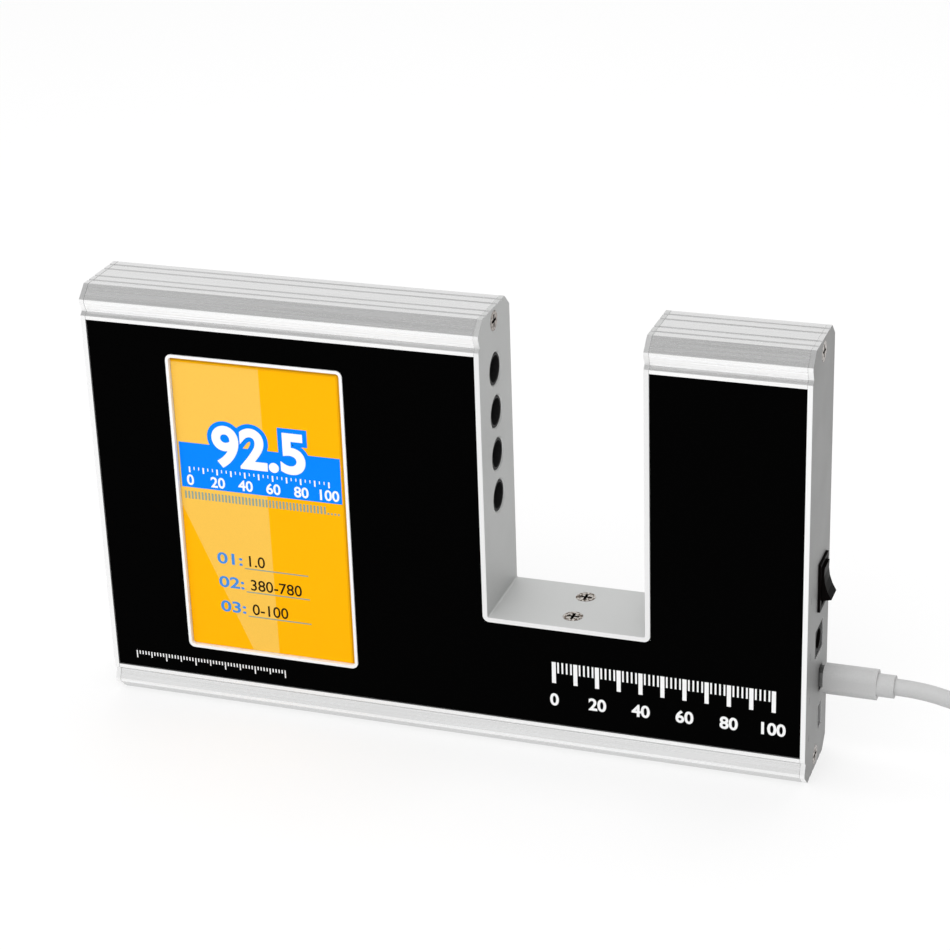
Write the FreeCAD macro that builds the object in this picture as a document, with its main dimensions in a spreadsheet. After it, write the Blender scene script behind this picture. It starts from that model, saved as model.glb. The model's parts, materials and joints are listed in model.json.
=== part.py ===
import FreeCAD, Part
import math
import os
import re

import Sketcher
from FreeCAD import Placement, Rotation, Vector

# Light transmission meter: a U-shaped case of extruded aluminium with a deep sample slot, light sources
# in its right arm, light sensors and a display in its left arm, a rocker switch, sockets and a lead on its
# right end. Lengths are in millimetres. Places are given from the case's front lower left corner: x runs
# along the case, y runs from its front to its back and z runs up. The finished part has its origin at the
# bottom centre of the box that the meter fills without its lead, which each piece's Placement allows for.

SIZES = {
    # case extrusion
    "case_length": 220.0,
    "case_height": 135.0,
    "case_depth": 28.0,
    "bevel_depth": 4.0,
    "bevel_height": 3.7,
    "wall_thick": 3.0,
    "shelf_thick": 2.6,
    "groove_inset": 7.65,
    "groove_slope": 2.9,
    "groove_return": 1.1,
    "groove_depth": 1.2,
    "rib_inner": 3.1,
    "rib_outer": 6.9,
    "rib_width": 0.9,
    "rib_depth": 0.6,
    "screw_port_side": 8.0,
    # black panels let into the front and the back
    "panel_margin": 10.0,
    "panel_recess": 1.7,
    "panel_thick": 1.2,
    "panel_gap": 0.1,
    # end plates and the bent sheet that lines the slot
    "plate_thick": 1.5,
    "liner_thick": 1.5,
    "liner_bend": 2.0,
    "right_arm": 47.5,
    "slot_width": 48.0,
    "slot_floor": 43.0,
    # light path
    "aperture_inset": 18.8,
    "aperture_pitch": 13.3,
    "aperture_radius": 4.7,
    "aperture_bevel": 0.6,
    "aperture_gap": 0.05,
    "tube_radius": 5.9,
    "tube_bore": 4.0,
    "tube_length": 11.0,
    "tube_setback": 0.3,
    "optic_thick": 1.5,
    "optic_inset": 5.0,
    "optic_gap": 0.05,
    "sensor_radius": 2.7,
    "sensor_height": 4.0,
    "lamp_radius": 2.5,
    "lamp_height": 4.5,
    "optic_board_gap": 1.0,
    "optic_board_margin": 8.0,
    # display
    "window_left": 26.3,
    "window_bottom": 19.4,
    "window_width": 56.0,
    "window_top_gap": 18.6,
    "window_corner": 2.0,
    "bezel_width": 1.0,
    "bezel_setback": 0.3,
    "glass_setback": 1.6,
    "display_border_x": 5.0,
    "display_border_z": 4.0,
    "display_thick": 1.8,
    "tray_wall": 0.6,
    "tray_back": 1.6,
    # boards
    "board_thick": 1.6,
    "board_left": 16.0,
    "board_clear": 6.4,
    "board_bottom": 12.0,
    "board_top_gap": 12.0,
    "board_hole_inset": 4.0,
    "standoff_radius": 2.6,
    "standoff_length": 5.9,
    "standoff_floor": 1.0,
    "io_board_width": 28.0,
    "io_board_bottom": 10.0,
    "io_board_height": 38.0,
    "io_post_length": 2.4,
    "io_board_gap": 0.5,
    # battery and the bar under the floor of the slot
    "cell_radius": 9.1,
    "cell_length": 65.0,
    "cell_clear": 3.5,
    "cell_gap": 0.1,
    "cradle_height": 8.0,
    "cradle_end": 1.5,
    "cradle_wall_gap": 0.2,
    "floor_bar_width": 12.0,
    "floor_bar_height": 8.0,
    # parts on the main board
    "chip_side": 14.0,
    "chip_thick": 1.4,
    "header_length": 24.0,
    "header_width": 5.0,
    "header_height": 4.5,
    # wiring inside the case
    "wire_radius": 0.9,
    "ribbon_width": 8.0,
    "ribbon_thick": 0.8,
    "ribbon_fold": 12.4,
    "wire_bend": 5.0,
    # screws
    "screw_inset": 4.0,
    "screw_radius": 1.5,
    "screw_head_radius": 3.0,
    "screw_head_height": 1.4,
    "screw_length": 8.0,
    "screw_end_gap": 0.5,
    "screw_gap": 0.1,
    "screw_slot_width": 0.8,
    "screw_slot_length": 3.8,
    "screw_slot_depth": 0.9,
    "floor_screw_spacing": 13.0,
    "floor_screw_length": 7.0,
    "board_screw_radius": 1.2,
    "board_screw_head": 2.2,
    # rocker switch
    "switch_back_gap": 10.4,
    "switch_centre_z": 59.0,
    "switch_flange_width": 10.4,
    "switch_flange_height": 15.0,
    "switch_flange_thick": 0.8,
    "switch_body_width": 8.8,
    "switch_body_height": 13.6,
    "switch_body_depth": 13.0,
    "switch_fit": 0.15,
    "rocker_width": 6.8,
    "rocker_half": 5.0,
    "rocker_rise": 4.1,
    "rocker_dip": 0.9,
    "rocker_skirt": 0.8,
    "rocker_keel": 2.5,
    "rocker_keel_half": 3.0,
    "rocker_pivot_depth": 1.4,
    "rocker_tilt": 12.5,
    "rocker_side_gap": 0.2,
    "rocker_end_gap": 1.3,
    "rocker_well": 7.0,
    "pivot_radius": 0.9,
    "pivot_gap": 0.05,
    "terminal_width": 4.8,
    "terminal_thick": 0.8,
    "terminal_length": 7.0,
    # sockets
    "jack_centre_z": 41.3,
    "jack_width": 10.0,
    "jack_height": 8.6,
    "jack_length": 14.0,
    "jack_setback": 0.3,
    "jack_bore": 3.0,
    "jack_bore_depth": 9.5,
    "jack_pin_radius": 1.0,
    "jack_pin_setback": 1.0,
    "socket_fit": 0.15,
    "socket_width": 7.7,
    "socket_height": 4.0,
    "socket_length": 9.0,
    "socket_wall": 0.35,
    "socket_taper": 1.2,
    "socket_setback": 0.2,
    "socket_tongue_width": 4.6,
    "socket_tongue_thick": 1.0,
    "socket_tongue_setback": 1.0,
    "port_margin": 0.05,
    "usb_centre_z": 27.1,
    "data_centre_z": 14.6,
    # lead
    "plug_gap": 0.1,
    "plug_wall": 0.3,
    "plug_depth": 6.2,
    "grip_standoff": 1.4,
    "grip_width": 9.0,
    "grip_thick": 7.0,
    "grip_corner": 3.0,
    "grip_length": 15.6,
    "collar_radius": 3.4,
    "collar_length": 5.0,
    "grip_edge": 0.7,
    "cord_radius": 2.5,
    "far_grip_width": 15.6,
    "far_grip_thick": 8.0,
    "far_grip_length": 26.0,
    "far_shell_width": 12.0,
    "far_shell_thick": 4.5,
    "far_shell_length": 12.0,
    "far_shell_wall": 0.4,
    "far_shell_lip": 1.0,
    "cord_run": 58.0,
    "cord_landing": 9.5,
    "hank_length": 94.0,
    "hank_width": 40.4,
    "hank_height": 20.0,
    "hank_centre_y": 7.8,
    "hank_entry_y": 22.6,
    "hank_corner": 12.0,
    "hank_waist": 29.8,
    "hank_shoulder": 20.0,
    "far_plug_y": 19.0,
    "tie_width": 9.0,
    "tie_thick": 1.2,
    "tie_gap": 0.2,
    # how far a cutting tool reaches past what it cuts
    "cut_margin": 1.0,
}

doc = FreeCAD.newDocument("light_transmission_meter")
sheet = doc.addObject("Spreadsheet::Sheet", "Sizes")
for row, (size_name, size_value) in enumerate(SIZES.items(), start=1):
    sheet.set("A%d" % row, size_name)
    sheet.set("B%d" % row, str(size_value))
    sheet.setAlias("B%d" % row, size_name)
doc.recompute()

# Sizes and places that follow from the driving ones
DERIVED = {
    "mid_y": "case_depth / 2",
    "plate_in": "case_length - plate_thick",
    "slot_end": "case_length - right_arm",
    "slot_start": "slot_end - slot_width",
    "slot_middle": "slot_start + slot_width / 2",
    "aperture_top": "case_height - aperture_inset",
    "aperture_hole": "aperture_radius + aperture_gap",
    "window_height": "case_height - window_bottom - window_top_gap",
    "optic_board_width": "case_depth - 2 * wall_thick - 2 * optic_board_gap",
    "sensor_board_back": "slot_start - liner_thick - tube_length - board_thick",
    "light_board_back": "slot_end + liner_thick + tube_length + board_thick",
    "board_right": "sensor_board_back - board_clear",
    "board_top": "case_height - board_top_gap",
    "board_back": "case_depth - wall_thick - standoff_length",
    "board_front": "board_back - board_thick",
    "io_board_left": "plate_in - io_board_gap - io_board_width",
    "io_board_back": "case_depth - wall_thick - io_post_length",
    "io_board_face": "io_board_back - board_thick",
    "cell_left": "io_board_left - cell_clear - cell_length",
    "cell_axis_z": "screw_port_side + cradle_end + cell_gap + cell_radius",
    "switch_centre_y": "case_depth - switch_back_gap",
    "pivot_x": "case_length - rocker_pivot_depth",
    "rocker_reach": "rocker_rise * cos(rocker_tilt) + rocker_half * sin(rocker_tilt) - rocker_pivot_depth",
    "jack_front": "case_length - jack_setback",
    "socket_front": "plate_in - socket_setback",
    "socket_back": "socket_front - socket_length",
    "cord_axis_y": "io_board_face - socket_height / 2",
    "plug_tip": "socket_front - plug_depth",
    "grip_start": "case_length + grip_standoff",
    "collar_start": "grip_start + grip_length",
    "cord_start": "collar_start + collar_length",
    "hank_left": "cord_start + cord_run",
    "hank_middle": "hank_left + hank_length / 2",
    "hank_right": "hank_left + hank_length",
    "origin_x": "(case_length + rocker_reach) / 2",
    "origin_y": "case_depth / 2",
}
APERTURE_COUNT = 4

sub_parts = []


def formula(text):
    """Point every size named in a formula at its cell in the sheet."""
    def reference(found):
        word = found.group()
        if word in DERIVED:
            return "(%s)" % formula(DERIVED[word])
        return "Sizes." + word if word in SIZES else word
    return re.sub(r"[a-z_]+", reference, text)


def measure(text):
    """The present value of a formula, as a plain number."""
    result = sheet.evalExpression(formula(text))
    return float(getattr(result, "Value", result))


def bind(item, **formulas):
    """Tie properties of a document object to formulas."""
    for prop, text in formulas.items():
        item.setExpression(prop, formula(text))


def move(item, x="0", y="0", z="0"):
    """Place an object at a point of the case, seen from the part's own origin."""
    item.setExpression("Placement.Base.x", formula("%s - origin_x" % x))
    item.setExpression("Placement.Base.y", formula("%s - origin_y" % y))
    item.setExpression("Placement.Base.z", formula(z))


def keep(item, label):
    """Name a finished sub-part, which also names its file."""
    item.Label = label
    sub_parts.append(item)
    return item


# Part primitives and booleans

TURN_TO = {
    "+X": Rotation(Vector(0, 1, 0), 90),
    "-X": Rotation(Vector(0, 1, 0), -90),
    "+Y": Rotation(Vector(1, 0, 0), -90),
    "-Y": Rotation(Vector(1, 0, 0), 90),
    "+Z": Rotation(),
    "-Z": Rotation(Vector(1, 0, 0), 180),
}


def block(name, corner, size):
    """Block from its lowest corner, with its length, width and height."""
    item = doc.addObject("Part::Box", name)
    bind(item, Length=size[0], Width=size[1], Height=size[2])
    move(item, *corner)
    return item


def rod(name, start, way, radius, length):
    """Round bar that runs from a point along a signed axis."""
    item = doc.addObject("Part::Cylinder", name)
    bind(item, Radius=radius, Height=length)
    item.Placement = Placement(Vector(), TURN_TO[way])
    move(item, *start)
    return item


def cone(name, start, way, radius, end_radius, length):
    """Tapered bar that runs from a point along a signed axis."""
    item = doc.addObject("Part::Cone", name)
    bind(item, Radius1=radius, Radius2=end_radius, Height=length)
    item.Placement = Placement(Vector(), TURN_TO[way])
    move(item, *start)
    return item


def fuse(name, items):
    item = doc.addObject("Part::MultiFuse", name)
    item.Shapes = items
    return item


def cut(name, base, tools):
    tool = tools[0] if len(tools) == 1 else fuse(name + "_tools", tools)
    item = doc.addObject("Part::Cut", name)
    item.Base = base
    item.Tool = tool
    return item


def common(name, first, second):
    item = doc.addObject("Part::Common", name)
    item.Base = first
    item.Tool = second
    return item


def group(name, items):
    """Identical separate solids as one sub-part."""
    item = doc.addObject("Part::Compound", name)
    item.Links = items
    return item


# Bodies padded from sketched outlines

def origin_plane(body, role):
    return [plane for plane in body.Origin.OriginFeatures if plane.Role == role][0]


def draw(sketch, outlines):
    """Closed polygons, with each corner held at its own two formulas."""
    for outline in outlines:
        first = sketch.GeometryCount
        corners = [Vector(measure(across), measure(up), 0) for across, up in outline]
        count = len(corners)
        for index in range(count):
            sketch.addGeometry(Part.LineSegment(corners[index], corners[(index + 1) % count]), False)
        for index in range(count):
            following = first + (index + 1) % count
            sketch.addConstraint(Sketcher.Constraint("Coincident", first + index, 2, following, 1))
        for index, (across, up) in enumerate(outline):
            place = corners[index]
            for kind, text, distance in (("DistanceX", across, place.x), ("DistanceY", up, place.y)):
                held = sketch.addConstraint(Sketcher.Constraint(kind, -1, 1, first + index, 1, distance))
                sketch.setExpression("Constraints[%d]" % held, formula(text))


def slab(name, role, outlines, start, thick):
    """Body padded from an outline: its plane, where it starts along the plane's axis, and its thickness."""
    body = doc.addObject("PartDesign::Body", name)
    sketch = body.newObject("Sketcher::SketchObject", name + "_outline")
    sketch.AttachmentSupport = [(origin_plane(body, role), "")]
    sketch.MapMode = "FlatFace"
    backwards = role == "XZ_Plane"
    offset = "-(%s)" % start if backwards else start
    sketch.setExpression("AttachmentOffset.Base.z", formula(offset))
    draw(sketch, outlines)
    pad = body.newObject("PartDesign::Pad", name + "_pad")
    pad.Profile = sketch
    pad.Reversed = backwards
    bind(pad, Length=thick)
    body.Tip = pad
    move(body)
    return body


def round_off(body, name, radius, chosen):
    """Fillet the edges of a body that a test picks out."""
    doc.recompute()
    base = body.Tip
    edges = ["Edge%d" % (index + 1) for index, edge in enumerate(base.Shape.Edges) if chosen(edge)]
    fillet = body.newObject("PartDesign::Fillet", name)
    fillet.Base = (base, edges)
    bind(fillet, Radius=radius)
    body.Tip = fillet
    return body


def runs_along(axis):
    """Test for straight edges that are parallel to an axis."""
    def chosen(edge):
        if not isinstance(edge.Curve, Part.Line):
            return False
        return abs(abs(edge.Curve.Direction.dot(axis)) - 1) < 1e-6
    return chosen


def rectangle(left, bottom, width, height):
    right = "%s + %s" % (left, width)
    top = "%s + %s" % (bottom, height)
    return [(left, bottom), (right, bottom), (right, top), (left, top)]


def flip_across(place):
    """The same corner on the other side of the case's middle, from front to back."""
    return ("case_depth - (%s)" % place[0], place[1])


def flip_up(place):
    """The same corner on the other side of the case's middle, from bottom to top."""
    return (place[0], "case_height - (%s)" % place[1])


def four_quarters(front, back=None):
    """Closed section from its lower front quarter, which runs from the bottom's middle to the front's.

    The lower back quarter is given as its mirror image, and is the same shape if it isn't given.
    """
    back = back or front
    upper_front = [flip_up(place) for place in reversed(front)]
    upper_back = [flip_across(flip_up(place)) for place in back]
    lower_back = [flip_across(place) for place in reversed(back)]
    return front + upper_front + upper_back + lower_back


def face_groove():
    """Shallow groove in the front face, as corners on the way up: a long slope in and a short one out."""
    return [
        ("0", "groove_inset - groove_slope"),
        ("groove_depth", "groove_inset"),
        ("0", "groove_inset + groove_return"),
    ]


def rib_groove(offset):
    """Small V groove in the bottom face, as corners on the way to the front."""
    centre = "mid_y - %s" % offset
    return [
        ("%s + rib_width / 2" % centre, "0"),
        (centre, "rib_depth"),
        ("%s - rib_width / 2" % centre, "0"),
    ]


BEVEL = [("bevel_depth", "0"), ("0", "bevel_height")]


def bottom_edge():
    """Ribs and bevel of a lower quarter."""
    return rib_groove("rib_inner") + rib_groove("rib_outer") + BEVEL


def plain_section():
    """Outline that the end plates and the slot liner share."""
    return four_quarters(bottom_edge() + face_groove(), bottom_edge())


def case_section():
    """Outline of the extrusion, with the recesses for the panels."""
    recess = [("0", "panel_margin"), ("panel_recess", "panel_margin")]
    return four_quarters(bottom_edge() + face_groove() + recess, bottom_edge() + recess)


def cavity_section():
    """Hollow of the extrusion, with the screw ports in the middle of its shelves."""
    port_side = "mid_y - screw_port_side / 2"
    port = [(port_side, "screw_port_side"), (port_side, "shelf_thick")]
    return four_quarters(port + [("wall_thick", "shelf_thick")])


# Screws and their holes

def cross_recess(name, centre, way):
    """The two arms of a cross recess, sunk from the middle of a screw's head."""
    along = "XYZ".index(way[1])
    arms = []
    for long_axis in range(3):
        if long_axis == along:
            continue
        size = ["screw_slot_width"] * 3
        size[long_axis] = "screw_slot_length"
        size[along] = "screw_slot_depth"
        corner = ["%s - %s / 2" % (centre[axis], size[axis]) for axis in range(3)]
        corner[along] = centre[along] if way[0] == "+" else "%s - screw_slot_depth" % centre[along]
        arms.append(block("%s_arm_%d" % (name, long_axis), corner, size))
    return arms


def flat_screw(name, centre, way, length):
    """Countersunk screw that points inwards from the middle of its flat head."""
    head = cone(name + "_head", centre, way, "screw_head_radius", "screw_radius", "screw_head_height")
    shank = rod(name + "_shank", centre, way, "screw_radius", length)
    blank = fuse(name + "_blank", [head, shank])
    return cut(name, blank, cross_recess(name, centre, way))


def screw_hole(name, centre, way, length):
    """Tools that cut a countersunk hole."""
    return [
        rod(name + "_bore", centre, way, "screw_radius + screw_gap", length),
        cone(name + "_sink", centre, way, "screw_head_radius + screw_gap", "screw_radius + screw_gap",
             "screw_head_height"),
    ]


# The places of the screws, each as a point on the outer surface and the way that it points
END_SCREWS = [
    (("0", "mid_y", "screw_inset"), "+X"),
    (("0", "mid_y", "case_height - screw_inset"), "+X"),
    (("case_length", "mid_y", "screw_inset"), "-X"),
    (("case_length", "mid_y", "case_height - screw_inset"), "-X"),
]
SIDE_SCREWS = [
    (("slot_start", "mid_y", "case_height - screw_inset"), "-X"),
    (("slot_end", "mid_y", "case_height - screw_inset"), "+X"),
]
FLOOR_SCREWS = [
    (("slot_middle", "mid_y - floor_screw_spacing / 2", "slot_floor"), "-Z"),
    (("slot_middle", "mid_y + floor_screw_spacing / 2", "slot_floor"), "-Z"),
]


def screw_set(label, places, length):
    screws = [flat_screw("%s_%d" % (label, number), centre, way, length)
              for number, (centre, way) in enumerate(places, start=1)]
    keep(group(label, screws), label)


def make_screws():
    screw_set("end_plate_screws", END_SCREWS, "screw_length")
    screw_set("liner_side_screws", SIDE_SCREWS, "screw_length")
    screw_set("liner_floor_screws", FLOOR_SCREWS, "floor_screw_length")


# The case

def aperture_height(index):
    return "aperture_top - %d * aperture_pitch" % index


def window_cut(name, start, thick, margin):
    """Tool for the display window, larger all round by a margin."""
    corner = ("window_left - %s" % margin, start, "window_bottom - %s" % margin)
    return block(name, corner, ("window_width + 2 * %s" % margin, thick, "window_height + 2 * %s" % margin))


def make_case():
    blank = slab("case_blank", "YZ_Plane", [case_section(), cavity_section()],
                 "plate_thick", "case_length - 2 * plate_thick")
    slot = block("case_slot", ("slot_start - liner_thick", "-cut_margin", "slot_floor - liner_thick"),
                 ("slot_width + 2 * liner_thick", "case_depth + 2 * cut_margin", "case_height"))
    window = window_cut("case_window", "-cut_margin", "wall_thick + 2 * cut_margin", "panel_gap")
    ports = [rod("case_port_%d" % number, centre, way, "screw_radius + screw_gap",
                 "screw_length + screw_end_gap")
             for number, (centre, way) in enumerate(END_SCREWS + SIDE_SCREWS, start=1)]
    keep(cut("case_profile", blank, [slot, window] + ports), "case_profile")


def panel_outline():
    """U shape of a panel, clear of the end plates, the rails and the slot liner."""
    left = "plate_thick + panel_gap"
    right = "plate_in - panel_gap"
    bottom = "panel_margin + panel_gap"
    top = "case_height - panel_margin - panel_gap"
    slot_left = "slot_start - liner_thick - panel_gap"
    slot_right = "slot_end + liner_thick + panel_gap"
    slot_bottom = "slot_floor - liner_thick - panel_gap"
    return [(left, bottom), (right, bottom), (right, top), (slot_right, top), (slot_right, slot_bottom),
            (slot_left, slot_bottom), (slot_left, top), (left, top)]


def window_outline(margin):
    return rectangle("window_left - %s" % margin, "window_bottom - %s" % margin,
                     "window_width + 2 * %s" % margin, "window_height + 2 * %s" % margin)


def in_window(edge):
    """Test for the edges through the case at the corners of the display window."""
    if not runs_along(Vector(0, 1, 0))(edge):
        return False
    x = edge.BoundBox.Center.x
    z = edge.BoundBox.Center.z
    left = measure("window_left - cut_margin")
    right = measure("window_left + window_width + cut_margin")
    bottom = measure("window_bottom - cut_margin")
    top = measure("window_bottom + window_height + cut_margin")
    return left < x < right and bottom < z < top


def make_panels():
    front = slab("front_panel", "XZ_Plane", [panel_outline(), window_outline("panel_gap")],
                 "panel_recess - panel_thick", "panel_thick")
    round_off(front, "front_panel_corners", "window_corner + panel_gap", in_window)
    keep(front, "front_panel")
    rear = slab("rear_panel", "XZ_Plane", [panel_outline()], "case_depth - panel_recess", "panel_thick")
    keep(rear, "rear_panel")


def plate_holes(name, places):
    holes = []
    for number, (centre, way) in enumerate(places, start=1):
        holes += screw_hole("%s_hole_%d" % (name, number), centre, way, "plate_thick")
    return holes


def plate_cut(name, low_y, width, centre_z, height, margin):
    """Tool for a right-angled opening in the right end plate, larger all round by a margin."""
    corner = ("plate_in - cut_margin", "%s - %s" % (low_y, margin),
              "%s - %s / 2 - %s" % (centre_z, height, margin))
    size = ("plate_thick + 2 * cut_margin", "%s + 2 * %s" % (width, margin), "%s + 2 * %s" % (height, margin))
    return block(name, corner, size)


def make_end_plates():
    left = slab("left_plate_blank", "YZ_Plane", [plain_section()], "0", "plate_thick")
    keep(cut("left_end_plate", left, plate_holes("left_plate", END_SCREWS[:2])), "left_end_plate")
    right = slab("right_plate_blank", "YZ_Plane", [plain_section()], "plate_in", "plate_thick")
    openings = [
        plate_cut("right_plate_switch", "switch_centre_y - switch_body_width / 2", "switch_body_width",
                  "switch_centre_z", "switch_body_height", "switch_fit"),
        plate_cut("right_plate_jack", "io_board_face - jack_width", "jack_width",
                  "jack_centre_z", "jack_height", "socket_fit"),
        plate_cut("right_plate_usb", "io_board_face - socket_height", "socket_height",
                  "usb_centre_z", "socket_width", "port_margin"),
        plate_cut("right_plate_data", "io_board_face - socket_height", "socket_height",
                  "data_centre_z", "socket_width", "port_margin"),
    ]
    tools = plate_holes("right_plate", END_SCREWS[2:]) + openings
    keep(cut("right_end_plate", right, tools), "right_end_plate")


def make_slot_liner():
    outer_left = "slot_start - liner_thick"
    outer_right = "slot_end + liner_thick"
    outer_floor = "slot_floor - liner_thick"
    outline = [(outer_left, "case_height"), (outer_left, outer_floor), (outer_right, outer_floor),
               (outer_right, "case_height"), ("slot_end", "case_height"), ("slot_end", "slot_floor"),
               ("slot_start", "slot_floor"), ("slot_start", "case_height")]
    sheet_metal = slab("liner_sheet", "XZ_Plane", [outline], "0", "case_depth")
    across = runs_along(Vector(0, 1, 0))

    def at_height(text):
        level = measure(text)
        return lambda edge: across(edge) and abs(edge.BoundBox.Center.z - level) < 0.01

    round_off(sheet_metal, "liner_outer_bends", "liner_bend", at_height(outer_floor))
    round_off(sheet_metal, "liner_inner_bends", "liner_bend - liner_thick", at_height("slot_floor"))
    section_start = "slot_start - liner_thick - cut_margin"
    section_length = "slot_width + 2 * liner_thick + 2 * cut_margin"
    section = slab("liner_section", "YZ_Plane", [plain_section()], section_start, section_length)
    shaped = common("liner_shaped", sheet_metal, section)
    tools = []
    for index in range(APERTURE_COUNT):
        height = aperture_height(index)
        tools.append(rod("liner_aperture_%d" % index, (section_start, "mid_y", height), "+X",
                         "aperture_hole", section_length))
        for side, place, way in (("left", "slot_start", "-X"), ("right", "slot_end", "+X")):
            tools.append(cone("liner_bevel_%s_%d" % (side, index), (place, "mid_y", height), way,
                              "aperture_hole + aperture_bevel", "aperture_hole", "aperture_bevel"))
    for number, (centre, way) in enumerate(SIDE_SCREWS + FLOOR_SCREWS, start=1):
        tools += screw_hole("liner_hole_%d" % number, centre, way, "liner_thick")
    keep(cut("slot_liner", shaped, tools), "slot_liner")


def make_floor_bar():
    """Bar between the front and back walls that takes the screws of the slot's floor."""
    bar = block("floor_bar_blank",
                ("slot_middle - floor_bar_width / 2", "wall_thick",
                 "slot_floor - liner_thick - floor_bar_height"),
                ("floor_bar_width", "case_depth - 2 * wall_thick", "floor_bar_height"))
    holes = [rod("floor_bar_hole_%d" % number, centre, way, "screw_radius + screw_gap",
                 "floor_screw_length + screw_end_gap")
             for number, (centre, way) in enumerate(FLOOR_SCREWS, start=1)]
    keep(cut("liner_floor_bar", bar, holes), "liner_floor_bar")


# The light path: four sources in the right arm face four sensors in the left arm

def light_tube(label, index, face, inward):
    """Tube whose nose sits in the liner's aperture; inward is the way into the arm."""
    height = aperture_height(index)
    outward = "-X" if inward == "+X" else "+X"
    seat = "%s %s liner_thick" % (face, inward[0])
    barrel = rod(label + "_barrel", (seat, "mid_y", height), inward, "tube_radius", "tube_length")
    nose = rod(label + "_nose", (seat, "mid_y", height), outward, "aperture_radius",
               "liner_thick - tube_setback")
    bore = rod(label + "_bore", (face, "mid_y", height), inward, "tube_bore", "liner_thick + tube_length")
    return keep(cut(label, fuse(label + "_blank", [barrel, nose]), [bore]), label)


def optic(label, index, face, inward):
    """Filter or lens in the bore of a tube."""
    start = "%s %s optic_inset" % (face, inward[0])
    middle = (start, "mid_y", aperture_height(index))
    return keep(rod(label, middle, inward, "tube_bore - optic_gap", "optic_thick"), label)


def optic_board(label, face, inward, part_radius, part_height):
    """Upright board behind the tubes with a sensor or a lamp in each bore."""
    toward_slot = "-X" if inward == "+X" else "+X"
    front = "%s %s (liner_thick + tube_length)" % (face, inward[0])
    left = front if inward == "+X" else "%s - board_thick" % front
    bottom = "%s - optic_board_margin" % aperture_height(APERTURE_COUNT - 1)
    board = block(label + "_plate", (left, "mid_y - optic_board_width / 2", bottom),
                  ("board_thick", "optic_board_width",
                   "%d * aperture_pitch + 2 * optic_board_margin" % (APERTURE_COUNT - 1)))
    parts = [rod("%s_part_%d" % (label, index), (front, "mid_y", aperture_height(index)), toward_slot,
                 part_radius, part_height) for index in range(APERTURE_COUNT)]
    keep(fuse(label, [board] + parts), label)


def make_light_path():
    for index in range(APERTURE_COUNT):
        number = index + 1
        light_tube("sensor_tube_%d" % number, index, "slot_start", "-X")
        optic("sensor_filter_%d" % number, index, "slot_start", "-X")
        light_tube("light_tube_%d" % number, index, "slot_end", "+X")
        optic("light_lens_%d" % number, index, "slot_end", "+X")
    optic_board("sensor_board", "slot_start", "-X", "sensor_radius", "sensor_height")
    optic_board("light_board", "slot_end", "+X", "lamp_radius", "lamp_height")


# The display, seated on the inside of the front wall

def make_display():
    ring = slab("display_bezel", "XZ_Plane", [window_outline("0"), window_outline("(-bezel_width)")],
                "bezel_setback", "wall_thick - bezel_setback")
    left = measure("window_left")
    right = measure("window_left + window_width")

    def outer_corner(edge):
        x = edge.BoundBox.Center.x
        return in_window(edge) and min(abs(x - left), abs(x - right)) < 0.01

    def inner_corner(edge):
        return in_window(edge) and not outer_corner(edge)

    round_off(ring, "bezel_outer_corners", "window_corner", outer_corner)
    round_off(ring, "bezel_inner_corners", "window_corner - bezel_width", inner_corner)
    keep(ring, "display_bezel")
    glass = slab("display_glass", "XZ_Plane", [window_outline("(-bezel_width - panel_gap)")],
                 "glass_setback", "wall_thick - glass_setback")
    round_off(glass, "glass_corners", "window_corner - bezel_width", in_window)
    keep(glass, "display_glass")
    corner = ["window_left - display_border_x", "wall_thick", "window_bottom - display_border_z"]
    size = ["window_width + 2 * display_border_x", "display_thick", "window_height + 2 * display_border_z"]
    keep(block("display_panel", corner, size), "display_panel")
    hollow = block("tray_hollow",
                   (corner[0] + " - panel_gap", corner[1] + " - cut_margin", corner[2] + " - panel_gap"),
                   (size[0] + " + 2 * panel_gap", "display_thick + cut_margin", size[2] + " + 2 * panel_gap"))
    tray = block("tray_blank",
                 (corner[0] + " - panel_gap - tray_wall", corner[1], corner[2] + " - panel_gap - tray_wall"),
                 (size[0] + " + 2 * panel_gap + 2 * tray_wall", "display_thick + tray_back",
                  size[2] + " + 2 * panel_gap + 2 * tray_wall"))
    keep(cut("display_tray", tray, [hollow]), "display_tray")


# Boards, battery and wiring

def board_corners():
    """The four fixing points of the main board, as x and z."""
    left = "board_left + board_hole_inset"
    right = "board_right - board_hole_inset"
    bottom = "board_bottom + board_hole_inset"
    top = "board_top - board_hole_inset"
    return [(left, bottom), (right, bottom), (right, top), (left, top)]


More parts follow.
